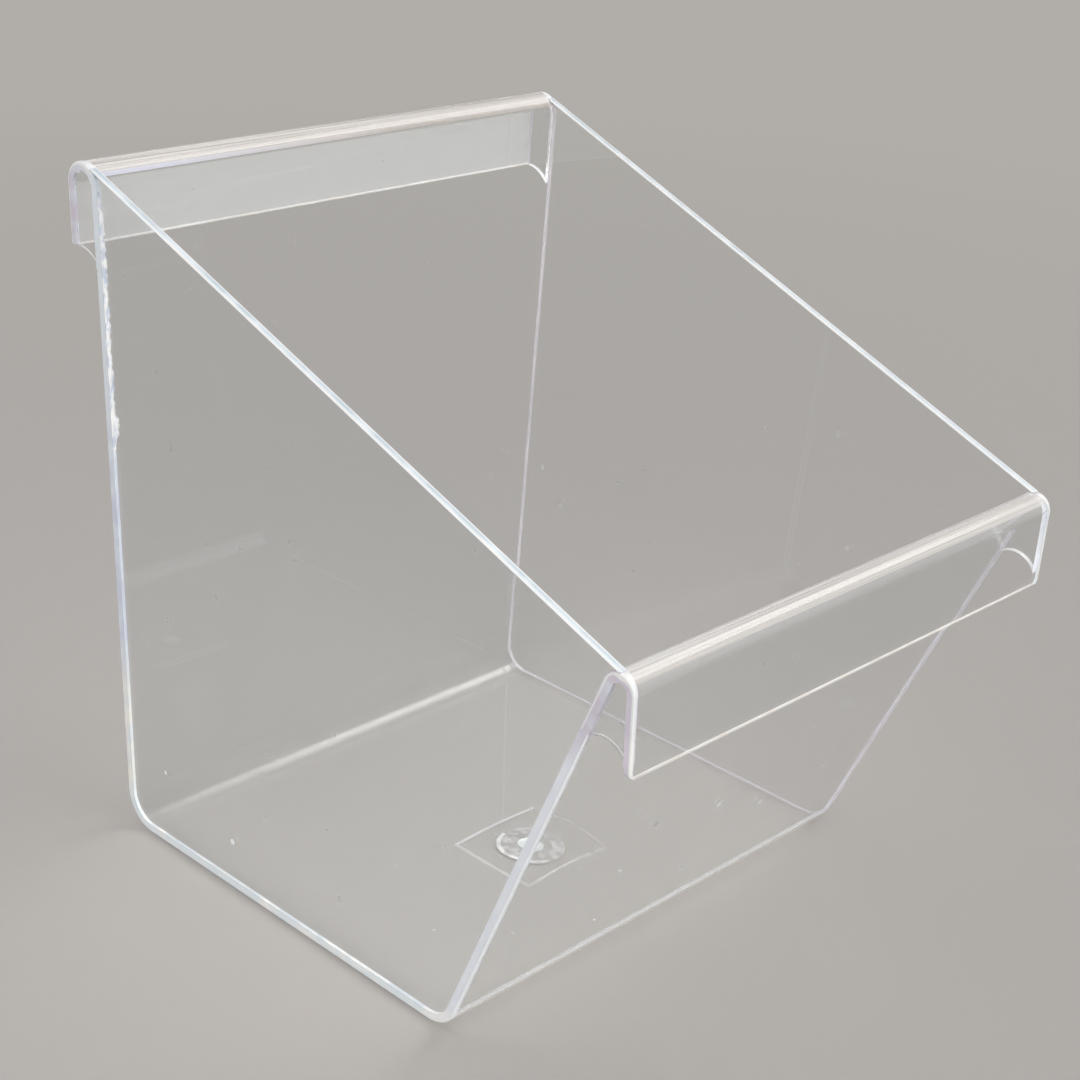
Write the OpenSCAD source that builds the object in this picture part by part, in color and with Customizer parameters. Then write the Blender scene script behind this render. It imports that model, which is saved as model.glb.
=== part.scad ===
// Slatwall display bucket: one bent clear sheet with inset side panels, channel webs and bonded seams.
// Sizes are millimetres. +Z is up, the front faces -Y, the rear hook is at +Y.

/* [Body] */
// Outside width across the underside of the floor
floor_w = 120; // [90:1:180]
// Outside depth of the floor, from the back face to the sharp front corner
floor_d = 103.8; // [80:0.1:150]
// Height from the underside to the top of the hook bend
total_h = 149.7; // [125:0.1:200]
// Thickness of every sheet
wall = 1.8; // [1.6:0.1:2.8]
// Outward lean of each side from upright, in degrees
side_draft = 2; // [0.5:0.1:4]
// Forward lean of the front wall from upright, in degrees
front_lean = 22.6; // [16:0.1:28]
// Downward slope of the side rims towards the front, in degrees
rim_slope = 20.5; // [14:0.1:26]
// Outside radius of the two floor bends
floor_bend = 8; // [5:0.5:14]

/* [Rear hook] */
// Gap between the back wall and the hook
hook_gap = 6.4; // [5:0.1:9]
// Height of the hook, from the top of its bend to its lower edge
hook_h = 17.8; // [14:0.1:26]

/* [Front lip] */
// Outside radius of the lip bend
lip_bend = 3.5; // [3.2:0.1:6]
// Height of the lip, from the top of its bend to its lower edge
lip_h = 19.2; // [14:0.1:26]
// Radius of the lip's two lower corners
lip_corner = 1.6; // [0.5:0.1:3]

/* [Webs] */
// How much more than the channel width the rear arch radius is
rear_arch_extra = 1.6; // [0.8:0.1:3]
// How much more than half the channel width the front arch radius is
front_arch_extra = 0.6; // [0.3:0.1:1.5]

/* [Seams] */
// Thickness of the bond between a side panel and the bent sheet
bond = 0.2; // [0.1:0.05:0.4]

/* [Gate mark] */
// Width of the shallow well under the floor
well_w = 25; // [15:0.5:35]
// Front to back length of the well
well_d = 21.5; // [15:0.5:35]
// Distance of the well's middle behind the middle of the overall depth
well_y = 2; // [-8:0.5:20]
// Depth of the well
well_h = 0.5; // [0.3:0.1:0.8]
// Diameter of the round dimple in the well
dimple_d = 14; // [8:0.5:14.5]
// Depth of the round dimple beyond the well
dimple_h = 0.5; // [0.3:0.1:0.6]
// Diameter of the gate stub in the dimple
stub_d = 4.4; // [2:0.1:6]
// Clearance of the gate stub above the resting face
stub_clear = 0.3; // [0.2:0.1:0.4]

/* [Hidden] */
$fn = 96;
// Overshoot of cutting shapes
cut = 1;
// Rear hook bend, measured from the back face
hook_in = hook_gap / 2;
hook_out = hook_in + wall;
hook_back = hook_gap + wall;
hook_c = [hook_in, total_h - hook_out];
hook_low = total_h - hook_h;
// Floor bends share one inside radius
floor_in = floor_bend - wall;
back_c = [-floor_bend, floor_bend];
front_c = [-floor_d + floor_bend * (1 - sin(front_lean)) / cos(front_lean), floor_bend];
// Lip bend: a circle that touches the front wall's inner face and the rim line
lip_in = lip_bend - wall;
front_reach = -floor_d * cos(front_lean) + wall - lip_bend;
rim_reach = -sin(rim_slope) * hook_c[0] + cos(rim_slope) * hook_c[1] + hook_out - lip_bend;
spread = cos(front_lean - rim_slope);
lip_c = [
    (cos(rim_slope) * front_reach - sin(front_lean) * rim_reach) / spread,
    (sin(rim_slope) * front_reach + cos(front_lean) * rim_reach) / spread
];
lip_front = lip_c[0] - lip_bend;
lip_low = lip_c[1] + lip_bend - lip_h;
lip_face = lip_front + wall;
// Channel between the front wall and the lip, at the lip's lower edge
channel_back = -floor_d - lip_low * tan(front_lean);
channel_mid = (channel_back + lip_face) / 2;
channel_top = -(lip_face + floor_d) / tan(front_lean);
front_arch_r = (channel_back - lip_face) / 2 + front_arch_extra;
rear_arch_r = hook_gap + rear_arch_extra;
// The part is centred on its overall depth
back_y = -(hook_back + lip_front) / 2;
depth = hook_back - lip_front;
// Sides
draft_run = tan(side_draft);
wall_x = wall / cos(side_draft);
half_top = floor_w / 2 + total_h * draft_run;
// Dimple cap
dimple_r = (dimple_d * dimple_d / 4 + dimple_h * dimple_h) / (2 * dimple_h);

// Half the outside width at a height
function half_w(z) = floor_w / 2 + z * draft_run;
// A point at an angle on a circle
function on(c, r, a) = [c[0] + r * cos(a), c[1] + r * sin(a)];

// Ring sector between two angles
module bend(c, r_in, r_out, a0, a1) {
    translate(c) intersection() {
        difference() {
            circle(r_out);
            circle(r_in);
        }
        polygon([[0, 0], on([0, 0], 2 * r_out, a0), on([0, 0], 2 * r_out, (a0 + a1) / 2), on([0, 0], 2 * r_out, a1)]);
    }
}

// Side view of the bent sheet, back face at zero
module wrap_profile() {
    translate([hook_gap, hook_low]) square([wall, hook_c[1] - hook_low]);
    bend(hook_c, hook_in, hook_out, 0, 180);
    translate([-wall, back_c[1]]) square([wall, hook_c[1] - back_c[1]]);
    bend(back_c, floor_in, floor_bend, -90, 0);
    translate([front_c[0], 0]) square([back_c[0] - front_c[0], wall]);
    bend(front_c, floor_in, floor_bend, 180 + front_lean, 270);
    polygon([
        on(front_c, floor_bend, 180 + front_lean),
        on(front_c, floor_in, 180 + front_lean),
        on(lip_c, lip_bend, front_lean),
        on(lip_c, lip_in, front_lean)
    ]);
    bend(lip_c, lip_in, lip_bend, front_lean, 180);
    translate([lip_front, lip_low]) square([wall, lip_c[1] - lip_low]);
}

// Side view of the space inside the bent sheet and under the rims, drawn in by a gap
module inside_profile(gap) {
    low = wall + gap;
    bend_r = floor_in - gap;
    difference() {
        union() {
            polygon([
                on(hook_c, hook_out, 90 + rim_slope),
                on(lip_c, lip_bend, 90 + rim_slope),
                lip_c,
                on(lip_c, lip_bend + gap, front_lean),
                on(front_c, bend_r, 180 + front_lean),
                [front_c[0], low],
                [back_c[0], low],
                [-wall - gap, back_c[1]],
                [-wall - gap, hook_c[1]],
                hook_c
            ]);
            translate(front_c) circle(bend_r);
            translate(back_c) circle(bend_r);
        }
        translate(hook_c) circle(hook_out + gap);
        translate(lip_c) circle(lip_bend + gap);
    }
}

// Side view of the web that closes one end of the hook channel
module rear_web_profile() {
    difference() {
        union() {
            translate([0, hook_low - rear_arch_r]) square([hook_gap, hook_c[1] - hook_low + rear_arch_r]);
            translate(hook_c) circle(hook_in);
        }
        translate([hook_gap, hook_low - rear_arch_r]) circle(rear_arch_r);
    }
}

// Side view of the web that closes one end of the lip channel
module front_web_profile() {
    difference() {
        polygon([
            [lip_face, lip_low],
            [lip_face, channel_top],
            [channel_back, lip_low]
        ]);
        bend(lip_c, lip_in, lip_h, front_lean, 180);
        translate([channel_mid, lip_low]) circle(front_arch_r);
    }
}

// Carries a side view along X, over the full width and beyond
module across() {
    translate([-half_top - cut, back_y, 0])
        rotate([90, 0, 90]) linear_extrude(height = 2 * (half_top + cut)) children();
}

// Carries a front view along Y, over the full depth and beyond
module along() {
    rotate([90, 0, 0]) linear_extrude(height = depth + 2 * cut, center = true) children();
}

// Everything between the two leaning side planes
module between_sides() {
    along() polygon([
        [-half_w(-cut), -cut],
        [half_w(-cut), -cut],
        [half_w(total_h + cut), total_h + cut],
        [-half_w(total_h + cut), total_h + cut]
    ]);
}

// One sheet thickness behind the right side plane
module right_slab() {
    along() polygon([
        [half_w(-cut) - wall_x, -cut],
        [half_w(-cut), -cut],
        [half_w(total_h + cut), total_h + cut],
        [half_w(total_h + cut) - wall_x, total_h + cut]
    ]);
}

// Waste outside the rounded lower right corner of the lip
module lip_corner_waste() {
    z = lip_low + lip_corner;
    c = [half_w(z) - lip_corner / cos(side_draft), z];
    translate([0, back_y + lip_face, 0])
        rotate([90, 0, 0]) linear_extrude(height = wall + cut) difference() {
            polygon([
                [c[0], lip_low - cut],
                [half_top + cut, lip_low - cut],
                [half_top + cut, c[1]],
                on(c, lip_corner, -side_draft),
                c
            ]);
            translate(c) circle(lip_corner);
        }
}

// Shallow well under the floor, with a round dimple and a gate stub
module gate_mark() {
    translate([0, well_y, 0]) difference() {
        union() {
            translate([-well_w / 2, -well_d / 2, -cut]) cube([well_w, well_d, well_h + cut]);
            intersection() {
                translate([0, 0, well_h + dimple_h - dimple_r]) sphere(dimple_r);
                translate([0, 0, well_h / 2]) cylinder(h = well_h + dimple_h, d = dimple_d);
            }
        }
        translate([0, 0, stub_clear]) cylinder(h = wall, d = stub_d);
    }
}

module wrap_sheet() {
    color([0.93, 0.95, 0.98, 0.4]) difference() {
        intersection() {
            across() wrap_profile();
            between_sides();
        }
        lip_corner_waste();
        mirror([1, 0, 0]) lip_corner_waste();
        gate_mark();
    }
}

module right_side_panel() {
    color([0.93, 0.95, 0.98, 0.4]) intersection() {
        across() inside_profile(bond);
        right_slab();
    }
}

module left_side_panel() {
    mirror([1, 0, 0]) right_side_panel();
}

module rear_right_web() {
    color([0.93, 0.95, 0.98, 0.4]) intersection() {
        across() rear_web_profile();
        right_slab();
    }
}

module rear_left_web() {
    mirror([1, 0, 0]) rear_right_web();
}

module front_right_web() {
    color([0.93, 0.95, 0.98, 0.4]) intersection() {
        across() front_web_profile();
        right_slab();
    }
}

module front_left_web() {
    mirror([1, 0, 0]) front_right_web();
}

module right_seam() {
    color([0.96, 0.97, 0.98, 0.7]) intersection() {
        across() seam_profile();
        right_slab();
    }
}

module left_seam() {
    mirror([1, 0, 0]) right_seam();
}

// Side view of the bond along the bent sheet's inner face, cut off square to the two upper bends
module seam_profile() {
    rear_end = 90 + rim_slope + acos(hook_out / (hook_out + bond));
    lip_end = 90 + rim_slope - acos(lip_bend / (lip_bend + bond));
    difference() {
        inside_profile(0);
        inside_profile(bond);
        polygon([hook_c, on(hook_c, 2 * hook_out, 90), on(hook_c, 2 * hook_out, rear_end)]);
        polygon([lip_c, on(lip_c, 2 * lip_bend, lip_end), on(lip_c, 2 * lip_bend, 90 + 2 * rim_slope)]);
    }
}

wrap_sheet();
left_side_panel();
right_side_panel();
rear_left_web();
rear_right_web();
front_left_web();
front_right_web();
left_seam();
right_seam();
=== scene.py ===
# Slatwall display bucket: clear bent sheet with bonded side panels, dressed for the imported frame.
# Shapes are worked out in millimetres, in the side view of the sheet, and built in metres.
import math
from collections import namedtuple

import bmesh
import bpy
from mathutils import Matrix, Vector


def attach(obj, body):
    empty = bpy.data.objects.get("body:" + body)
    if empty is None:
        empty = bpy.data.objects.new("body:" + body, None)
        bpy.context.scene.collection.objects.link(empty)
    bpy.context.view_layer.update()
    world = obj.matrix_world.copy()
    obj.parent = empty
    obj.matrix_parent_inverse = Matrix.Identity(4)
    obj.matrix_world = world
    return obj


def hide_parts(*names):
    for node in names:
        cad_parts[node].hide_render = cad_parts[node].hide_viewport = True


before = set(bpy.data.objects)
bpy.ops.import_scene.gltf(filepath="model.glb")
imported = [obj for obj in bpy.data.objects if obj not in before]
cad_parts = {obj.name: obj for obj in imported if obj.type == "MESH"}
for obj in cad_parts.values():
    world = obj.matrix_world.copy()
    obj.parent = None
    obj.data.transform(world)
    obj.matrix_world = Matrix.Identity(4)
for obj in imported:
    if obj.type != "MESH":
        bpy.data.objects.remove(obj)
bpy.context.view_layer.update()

# Driving sizes, the same as the solids'
MM = 0.001
FLOOR_W = 120.0
FLOOR_D = 103.8
TOTAL_H = 149.7
WALL = 1.8
SIDE_DRAFT = math.radians(2.0)
FRONT_LEAN = 22.6
RIM_SLOPE = 20.5
FLOOR_BEND = 8.0
HOOK_GAP = 6.4
HOOK_H = 17.8
LIP_BEND = 3.5
LIP_H = 19.2
LIP_CORNER = 1.6
REAR_ARCH_EXTRA = 1.6
FRONT_ARCH_EXTRA = 0.6
BOND = 0.2
WELL_W = 25.0
WELL_D = 21.5
WELL_Y = 2.0
WELL_H = 0.5
DIMPLE_D = 14.0
DIMPLE_H = 0.5
STUB_D = 4.4
STUB_CLEAR = 0.3

# Fine shape: broken edges, bend steps, the bond and the gate mark
BREAK = 0.25
EDGE_LINE = 0.5
BEND_STEP = 6.0
ARC_STEPS = 20
CORNER_STEPS = 8
NEAR_BEND = 0.4
BOND_RECESS = 0.02
BOND_CLEAR = 0.01
SHARP_ANGLE = math.radians(16.0)
WELL_SLOPE = 0.7
WELL_SHIFT = 0.35
WELL_MARGIN = 2.5
WELL_STEPS = 12
DIMPLE_STEPS = 48
# Rings in from the dimple's edge: share of the way out, finish on the crescent and finish elsewhere
DIMPLE_RINGS = ((0.8, "scrape", "frost"), (0.4, "frost", "frost"), (0.0, "frost", "hazed"))
# Angles between which the dimple's edge is scraped white
CRESCENT = (100, 260)
# How far each side of the well bows out
WELL_BOWS = {(1, 0): 1.6, (0, -1): -0.9, (-1, 0): 0.1, (0, 1): 0.5}

# Angles on the bends, in degrees, at which the finish and its painted highlights change
HOOK_TOP_ANGLE = 50
HOOK_GLINT_ANGLE = 138
HOOK_CLEAR_ANGLE = 149
LIP_RIDGE_ANGLE = 60
LIP_CLEAR_ANGLE = 143
# Angles on the front bend between which a whitish hazy strip is a painted highlight
FRONT_LINE_START = 245
FRONT_LINE_END = 211
# Heights between which the left bond at the back is lumpy
LUMPY_LOW = 90.0
LUMPY_HIGH = 141.0


def turn(degrees):
    """Cosine and sine of an angle in degrees."""
    return math.cos(math.radians(degrees)), math.sin(math.radians(degrees))


def on(centre, radius, degrees):
    """A point at an angle on a circle."""
    cos, sin = turn(degrees)
    return centre[0] + radius * cos, centre[1] + radius * sin


# Derived side view, with the back face at zero
LEAN_COS, LEAN_SIN = turn(FRONT_LEAN)
RIM_COS, RIM_SIN = turn(RIM_SLOPE)
HOOK_IN = HOOK_GAP / 2
HOOK_OUT = HOOK_IN + WALL
HOOK_C = (HOOK_IN, TOTAL_H - HOOK_OUT)
HOOK_LOW = TOTAL_H - HOOK_H
FLOOR_IN = FLOOR_BEND - WALL
BACK_C = (-FLOOR_BEND, FLOOR_BEND)
FRONT_C = (-FLOOR_D + FLOOR_BEND * (1 - LEAN_SIN) / LEAN_COS, FLOOR_BEND)
LIP_IN = LIP_BEND - WALL
FRONT_REACH = -FLOOR_D * LEAN_COS + WALL - LIP_BEND
RIM_REACH = -RIM_SIN * HOOK_C[0] + RIM_COS * HOOK_C[1] + HOOK_OUT - LIP_BEND
SPREAD = math.cos(math.radians(FRONT_LEAN - RIM_SLOPE))
LIP_C = (
    (RIM_COS * FRONT_REACH - LEAN_SIN * RIM_REACH) / SPREAD,
    (RIM_SIN * FRONT_REACH + LEAN_COS * RIM_REACH) / SPREAD,
)
LIP_FRONT = LIP_C[0] - LIP_BEND
LIP_LOW = LIP_C[1] + LIP_BEND - LIP_H
LIP_FACE = LIP_FRONT + WALL
CHANNEL_BACK = -FLOOR_D - LIP_LOW * LEAN_SIN / LEAN_COS
CHANNEL_MID = (CHANNEL_BACK + LIP_FACE) / 2
FRONT_ARCH_C = (CHANNEL_MID, LIP_LOW)
FRONT_ARCH_R = (CHANNEL_BACK - LIP_FACE) / 2 + FRONT_ARCH_EXTRA
REAR_ARCH_R = HOOK_GAP + REAR_ARCH_EXTRA
REAR_ARCH_C = (HOOK_GAP, HOOK_LOW - REAR_ARCH_R)
BACK_Y = -(HOOK_GAP + WALL + LIP_FRONT) / 2
WALL_X = WALL / math.cos(SIDE_DRAFT)
FRONT_OUT = (-LEAN_COS, -LEAN_SIN)
FRONT_UP = (-LEAN_SIN, LEAN_COS)
WELL_BACK = WELL_Y + WELL_D / 2 + WELL_MARGIN - BACK_Y
WELL_FRONT = WELL_Y - WELL_D / 2 - WELL_MARGIN - BACK_Y
WELL_SHARE = (WELL_W / 2 + WELL_MARGIN) / (FLOOR_W / 2)


def half_width(z):
    """Half the outside width at a height."""
    return FLOOR_W / 2 + z * math.tan(SIDE_DRAFT)


def place(x, point):
    """A side view point at a place across the bucket, in metres."""
    return Vector((x, point[0] + BACK_Y, point[1])) * MM


def between(start, end, share):
    """A value part of the way between two."""
    return start + (end - start) * share


def arc(centre, radius, start, end, steps):
    """Points along an arc, both ends included."""
    return [on(centre, radius, between(start, end, k / steps)) for k in range(steps + 1)]


def rear_arch_height(y, inset):
    """Height of the rear arch at a place across the hook channel."""
    radius = REAR_ARCH_R + inset
    return REAR_ARCH_C[1] + math.sqrt(radius ** 2 - (y - REAR_ARCH_C[0]) ** 2)


def front_arch_at_lip(inset):
    """Height at which the front arch meets the lip's inner face."""
    return LIP_LOW + math.sqrt((FRONT_ARCH_R + inset) ** 2 - (CHANNEL_MID - LIP_FACE) ** 2)


def front_arch_at_wall(inset):
    """Point at which the front arch meets the front wall's outer face."""
    wall_reach = FRONT_C[0] * FRONT_OUT[0] + FRONT_C[1] * FRONT_OUT[1] + FLOOR_BEND
    arch_reach = FRONT_ARCH_C[0] * FRONT_OUT[0] + FRONT_ARCH_C[1] * FRONT_OUT[1]
    off = wall_reach - arch_reach
    run = math.sqrt((FRONT_ARCH_R + inset) ** 2 - off ** 2)
    return (
        FRONT_ARCH_C[0] + off * FRONT_OUT[0] + run * FRONT_UP[0],
        FRONT_ARCH_C[1] + off * FRONT_OUT[1] + run * FRONT_UP[1],
    )


def rear_tip_angle(drop):
    """Angle on the hook bend at which a side panel whose rim is drawn in by a drop ends."""
    return 90 + RIM_SLOPE + math.degrees(math.acos((HOOK_OUT - drop) / (HOOK_OUT + BOND)))


def lip_tip_angle(drop):
    """Angle on the lip bend at which a side panel whose rim is drawn in by a drop ends."""
    return 90 + RIM_SLOPE - math.degrees(math.acos((LIP_BEND - drop) / (LIP_BEND + BOND)))


# Mesh building
class Shell:
    """Collects points and faces, each face with the name of its finish."""

    def __init__(self):
        self.mesh = bmesh.new()
        self.finishes = []

    def ring(self, points):
        return [self.mesh.verts.new(p) for p in points]

    def face(self, corners, finish):
        if finish not in self.finishes:
            self.finishes.append(finish)
        made = self.mesh.faces.new(corners)
        made.material_index = self.finishes.index(finish)

    def strip(self, ring_a, ring_b, finish_of):
        """Joins two closed rings, with a finish for each step along them."""
        count = len(ring_a)
        for k in range(count):
            after = (k + 1) % count
            self.face([ring_a[k], ring_a[after], ring_b[after], ring_b[k]], finish_of(k))

    def loft(self, rings, finish_of):
        """Joins closed rings one after another into a closed body."""
        for step, (ring_a, ring_b) in enumerate(zip(rings, rings[1:])):
            self.strip(ring_a, ring_b, lambda k: finish_of(step, k))
        self.face(rings[0], finish_of(0, 0))
        self.face(rings[-1][::-1], finish_of(len(rings) - 2, 0))

    def finish(self, name, node, slot):
        """Makes the piece that stands for a node."""
        bmesh.ops.recalc_face_normals(self.mesh, faces=self.mesh.faces)
        data = bpy.data.meshes.new(name)
        self.mesh.to_mesh(data)
        self.mesh.free()
        data.shade_smooth()
        data.set_sharp_from_angle(angle=SHARP_ANGLE)
        for finish in self.finishes:
            data.materials.append(MATERIALS[finish])
        piece = bpy.data.objects.new(name, data)
        bpy.context.scene.collection.objects.link(piece)
        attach(piece, "root")
        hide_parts(node)
        return piece


# Material building
ACRYLIC_IOR = 1.49
SHEET_TINT = (0.965, 0.975, 0.98)
BONDED_TINT = (0.96, 0.97, 0.98)
FLECK_ROUGHNESS = 0.8
# Transmission of a frosted cut end, and of the streaks of rubbing and painted highlight on a bend
FROSTED = 0.08
STREAKED = 0.1


def new_material(name):
    """A material with an empty node tree and its output."""
    material = bpy.data.materials.new(name)
    material.use_nodes = True
    material.node_tree.nodes.clear()
    output = material.node_tree.nodes.new("ShaderNodeOutputMaterial")
    return material, material.node_tree, output


def add_node(tree, kind, **settings):
    """A node with some of its inputs or properties set."""
    node = tree.nodes.new(kind)
    for key, value in settings.items():
        socket = key.replace("_", " ")
        if socket in node.inputs:
            node.inputs[socket].default_value = value
        else:
            setattr(node, key, value)
    return node


def principled(tree, **settings):
    """The main shader with some inputs set."""
    return add_node(tree, "ShaderNodeBsdfPrincipled", **settings)


def frame_point(tree, stretch=(1, 1, 1)):
    """The frame's own coordinates, stretched."""
    coords = add_node(tree, "ShaderNodeTexCoord")
    mapping = add_node(tree, "ShaderNodeMapping", Scale=stretch)
    tree.links.new(coords.outputs["Object"], mapping.inputs["Vector"])
    return mapping.outputs["Vector"]


def levels(tree, value, low, high, to_low=0.0, to_high=1.0):
    """A value carried from one range to another, and held within it."""
    node = add_node(
        tree, "ShaderNodeMapRange", From_Min=low, From_Max=high, To_Min=to_low, To_Max=to_high
    )
    tree.links.new(value, node.inputs["Value"])
    return node.outputs["Result"]


def spread(tree, mask, least, most):
    """A mask from 0 to 1 carried to another range."""
    return levels(tree, mask, 0, 1, least, most)


def shaped_noise(tree, scale, detail, low, high, stretch=(1, 1, 1)):
    """Noise cut between two levels to a mask from 0 to 1."""
    noise = add_node(tree, "ShaderNodeTexNoise", Scale=scale, Detail=detail)
    tree.links.new(frame_point(tree, stretch), noise.inputs["Vector"])
    return levels(tree, noise.outputs["Fac"], low, high)


def combined(tree, operation, first, second):
    """Two values combined."""
    node = add_node(tree, "ShaderNodeMath", operation=operation)
    tree.links.new(first, node.inputs[0])
    tree.links.new(second, node.inputs[1])
    return node.outputs["Value"]


def along(tree, axis, low, high):
    """A mask that rises from 0 to 1 between two places along an axis, in millimetres."""
    split = add_node(tree, "ShaderNodeSeparateXYZ")
    tree.links.new(frame_point(tree), split.inputs["Vector"])
    return levels(tree, split.outputs[axis], low * MM, high * MM)


def colour_mix(tree, mask, first, second):
    """A colour between two, by a mask. Either may be a colour or another node's output."""
    node = add_node(tree, "ShaderNodeMix", data_type="RGBA")
    tree.links.new(mask, node.inputs["Factor"])
    sockets = [socket for socket in node.inputs if socket.type == "RGBA"]
    for socket, colour in zip(sockets, (first, second)):
        if isinstance(colour, tuple):
            socket.default_value = (*colour, 1)
        else:
            tree.links.new(colour, socket)
    return next(socket for socket in node.outputs if socket.type == "RGBA")


def relief(tree, height, strength, distance):
    """A bump from a mask."""
    node = add_node(tree, "ShaderNodeBump", Strength=strength, Distance=distance)
    tree.links.new(height, node.inputs["Height"])
    return node.outputs["Normal"]


def mix_shaders(tree, mask, first, second, output):
    """Joins two shaders by a mask and shows the result."""
    mixed = add_node(tree, "ShaderNodeMixShader")
    tree.links.new(mask, mixed.inputs["Fac"])
    tree.links.new(first.outputs[0], mixed.inputs[1])
    tree.links.new(second.outputs[0], mixed.inputs[2])
    tree.links.new(mixed.outputs["Shader"], output.inputs["Surface"])


def let_lamps_through(tree, shader, output, tint):
    """Lets lamp light pass a clear surface, so that what lies behind it is lit."""
    path = add_node(tree, "ShaderNodeLightPath")
    passing = add_node(tree, "ShaderNodeBsdfTransparent", Color=(*tint, 1))
    mix_shaders(tree, path.outputs["Is Shadow Ray"], shader, passing, output)


def clear_material(name, haze, streak, clearness, least=0.0, fade=None):
    """Clear sheet: smudges, fine scratches along the width, a few flecks and a slight waviness.

    With a fade, the sheet is quite clear at its first height and as clear as asked at its second."""
    material, tree, output = new_material(name)
    shader = principled(
        tree, Base_Color=(*SHEET_TINT, 1), IOR=ACRYLIC_IOR, Transmission_Weight=clearness
    )
    if fade:
        passing = spread(tree, along(tree, "Z", *fade), 1, clearness)
        tree.links.new(passing, shader.inputs["Transmission Weight"])
    smudges = shaped_noise(tree, scale=38, detail=4, low=0.52, high=0.78)
    scratches = shaped_noise(tree, scale=900, detail=2, low=0.66, high=0.74, stretch=(0.03, 1, 1))
    flecks = shaped_noise(tree, scale=300, detail=0, low=0.87, high=0.89)
    rubbed = combined(
        tree, "MAXIMUM", spread(tree, smudges, least, least + haze), spread(tree, scratches, 0, streak)
    )
    worn = combined(tree, "MAXIMUM", rubbed, spread(tree, flecks, 0, FLECK_ROUGHNESS))
    tree.links.new(worn, shader.inputs["Roughness"])
    waves = shaped_noise(tree, scale=22, detail=0, low=0.2, high=0.8)
    tree.links.new(relief(tree, waves, strength=0.05, distance=0.0004), shader.inputs["Normal"])
    let_lamps_through(tree, shader, output, tint=(0.95, 0.955, 0.96))
    return material


def ridge_highlight_material(name, dark, light, clearest, faded):
    """Outside of a tight bend: fine cream streaks along the width, weaker towards the right, partly
    rubbing and partly a painted highlight.
    """
    material, tree, output = new_material(name)
    shader = principled(tree, IOR=ACRYLIC_IOR)
    fine = shaped_noise(tree, scale=1500, detail=2, low=0.36, high=0.6, stretch=(0.005, 1, 1))
    broad = shaped_noise(tree, scale=500, detail=1, low=0.3, high=0.7, stretch=(0.02, 1, 1))
    streak = combined(tree, "MULTIPLY", fine, spread(tree, broad, 0.45, 1))
    # The painted highlight fades towards the right
    rightward = spread(tree, along(tree, "X", low=-30, high=50), 1, faded)
    streak = combined(tree, "MULTIPLY", streak, rightward)
    tree.links.new(colour_mix(tree, streak, dark, light), shader.inputs["Base Color"])
    tree.links.new(spread(tree, streak, clearest, STREAKED), shader.inputs["Transmission Weight"])
    tree.links.new(spread(tree, streak, least=0.2, most=0.4), shader.inputs["Roughness"])
    tree.links.new(relief(tree, streak, strength=0.15, distance=0.0001), shader.inputs["Normal"])
    let_lamps_through(tree, shader, output, tint=(0.8, 0.79, 0.78))
    return material


def glint_material(name, left, right):
    """Foot of the rubbed hook bend: a painted glint, a cool pale line at the left that warms towards the
    right.
    """
    material, tree, output = new_material(name)
    shader = principled(tree, IOR=ACRYLIC_IOR)
    wear = shaped_noise(tree, scale=500, detail=2, low=0.3, high=0.7, stretch=(0.03, 1, 1))
    warm = along(tree, "X", low=-50, high=20)
    tone = colour_mix(tree, warm, left, right)
    tree.links.new(spread(tree, warm, least=0.25, most=0.75), shader.inputs["Transmission Weight"])
    worn = spread(tree, wear, least=0, most=0.3)
    tree.links.new(colour_mix(tree, worn, tone, right), shader.inputs["Base Color"])
    tree.links.new(spread(tree, wear, least=0.2, most=0.4), shader.inputs["Roughness"])
    let_lamps_through(tree, shader, output, tint=(0.8, 0.8, 0.82))
    return material


def edge_material(name, low_colour, high_colour, low, high, light, clearness=FROSTED, axis="Z"):
    """Frosted cut edge: a tone that changes between two places along an axis, with light clouds; the
    change of tone is painted light.
    """
    material, tree, output = new_material(name)
    shader = principled(tree, IOR=ACRYLIC_IOR, Transmission_Weight=clearness)
    tone = colour_mix(tree, along(tree, axis, low, high), low_colour, high_colour)
    cloud = shaped_noise(tree, scale=170, detail=2, low=0.42, high=0.68)
    tree.links.new(colour_mix(tree, cloud, tone, light), shader.inputs["Base Color"])
    tree.links.new(spread(tree, cloud, least=0.3, most=0.5), shader.inputs["Roughness"])
    grain = shaped_noise(tree, scale=1600, detail=2, low=0.3, high=0.7)
    tree.links.new(relief(tree, grain, strength=0.2, distance=0.0001), shader.inputs["Normal"])
    tree.links.new(shader.outputs["BSDF"], output.inputs["Surface"])
    return material


def lumpy_material(name, dark, light):
    """Cement that set in lumps: bright swellings, with painted shade in the cool grey hollows between
    them.
    """
    material, tree, output = new_material(name)
    shader = principled(tree, IOR=ACRYLIC_IOR)
    lump = shaped_noise(tree, scale=480, detail=2, low=0.38, high=0.56)
    tree.links.new(colour_mix(tree, lump, dark, light), shader.inputs["Base Color"])
    tree.links.new(spread(tree, lump, least=0.5, most=0.25), shader.inputs["Roughness"])
    tree.links.new(relief(tree, lump, strength=0.5, distance=0.0003), shader.inputs["Normal"])
    tree.links.new(shader.outputs["BSDF"], output.inputs["Surface"])
    return material


def film_material(name, colour, scale, low, high, least, most):
    """Film of cement between two bonded faces: see-through, more or less milky in soft patches."""
    material, tree, output = new_material(name)
    shader = principled(tree, Base_Color=(*colour, 1), Roughness=0.5)
    patch = shaped_noise(tree, scale, detail=2, low=low, high=high)
    tree.links.new(spread(tree, patch, least, most), shader.inputs["Alpha"])
    tree.links.new(shader.outputs["BSDF"], output.inputs["Surface"])
    return material


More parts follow.
